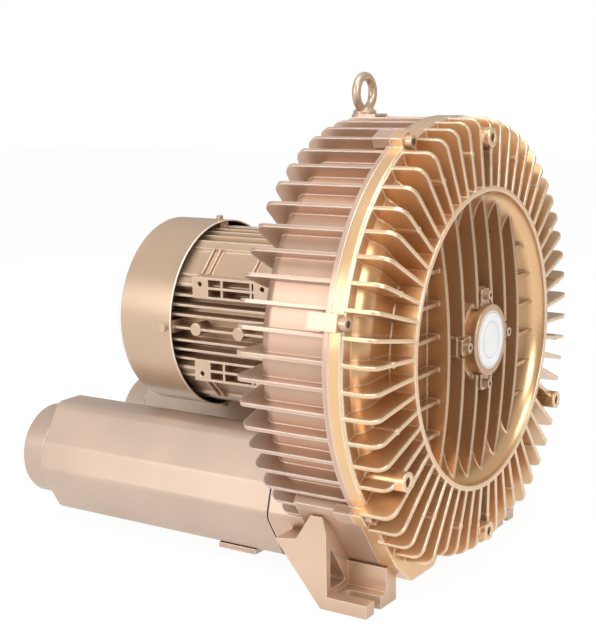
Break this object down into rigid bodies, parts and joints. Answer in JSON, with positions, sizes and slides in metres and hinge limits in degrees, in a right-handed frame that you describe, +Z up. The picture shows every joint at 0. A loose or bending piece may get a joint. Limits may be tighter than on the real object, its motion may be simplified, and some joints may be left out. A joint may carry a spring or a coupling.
{
  "type": "side channel blower",
  "caption": "Side channel blower with a round finned casing, flange-mounted electric motor, two silencers with threaded ports, slotted feet and a lifting eye.",
  "frame": {"origin": "on the floor, below the middle of the machine", "axes": "+X along the shaft towards the cover, +Z up"},
  "size_m": [0.549, 0.4776, 0.5367],
  "materials": {
    "casting_paint": "satin champagne gold paint",
    "cover_paint": "satin champagne gold paint",
    "motor_paint": "satin champagne gold paint",
    "silencer_paint": "satin champagne gold paint",
    "cowl_paint": "satin bronze gold paint",
    "bolt_paint": "satin paint over steel",
    "eye_paint": "satin paint over steel",
    "badge": "blank printed disc",
    "lamination": "stacked sheet",
    "copper_wire": "varnished winding",
    "zinc_bolts": "zinc plated",
    "pale_grille": "pale grey moulding",
    "black_rubber": "matt",
    "dark_plastic": "matt",
    "foam": "open cell foam",
    "steel": "turned steel",
    "bearing_steel": "ground steel",
    "bare_aluminium": "cast and machined"
  },
  "bodies": {
    "machine": {"absorber_far": "foam", "absorber_near": "foam", "badge_plate": "badge", "bearing_cap": "cover_paint", "bearing_cap_screws": "bolt_paint", "blower_housing": "casting_paint", "cable_gland": "dark_plastic", "cover_bolts": "bolt_paint", "cowl_grille": "pale_grille", "cowl_screws": "bolt_paint", "drive_end_shield": "motor_paint", "end_shield_bolts": "zinc_bolts", "eye_bolt": "eye_paint", "fan_cowl": "cowl_paint", "flange_bolts": "bolt_paint", "foot_far": "casting_paint", "foot_near": "casting_paint", "front_bearing_outer_ring": "bearing_steel", "housing_cover": "cover_paint", "motor_housing": "motor_paint", "perforated_tube_far": "steel", "perforated_tube_near": "steel", "port_flange_far": "silencer_paint", "port_flange_near": "silencer_paint", "port_flange_screws": "bolt_paint", "rear_bearing_outer_ring": "bearing_steel", "rear_end_shield": "motor_paint", "rear_foot": "casting_paint", "rear_foot_screws": "bolt_paint", "shaft_seal": "black_rubber", "silencer_gasket_far": "black_rubber", "silencer_gasket_near": "black_rubber", "silencer_shell_far": "silencer_paint", "silencer_shell_near": "silencer_paint", "silencer_tie_bolts": "bolt_paint", "stator_core": "lamination", "stator_windings": "copper_wire", "terminal_board": "dark_plastic", "terminal_box": "motor_paint", "terminal_box_gasket": "black_rubber", "terminal_box_lid": "motor_paint", "terminal_lid_screws": "bolt_paint"},
    "rotor": {"bearing_circlip": "steel", "cooling_fan": "dark_plastic", "fan_circlip": "steel", "front_bearing_inner_ring": "bearing_steel", "impeller": "bare_aluminium", "impeller_key": "steel", "impeller_spacer": "steel", "rear_bearing_inner_ring": "bearing_steel", "rotor_core": "lamination", "shaft": "steel"}
  },
  "joints": [
    {"name": "shaft_spin", "type": "hinge", "parent": "machine", "child": "rotor", "pos_m": [0.2315, 0, 0.258], "axis": [1, 0, 0], "continuous": true}
  ]
}
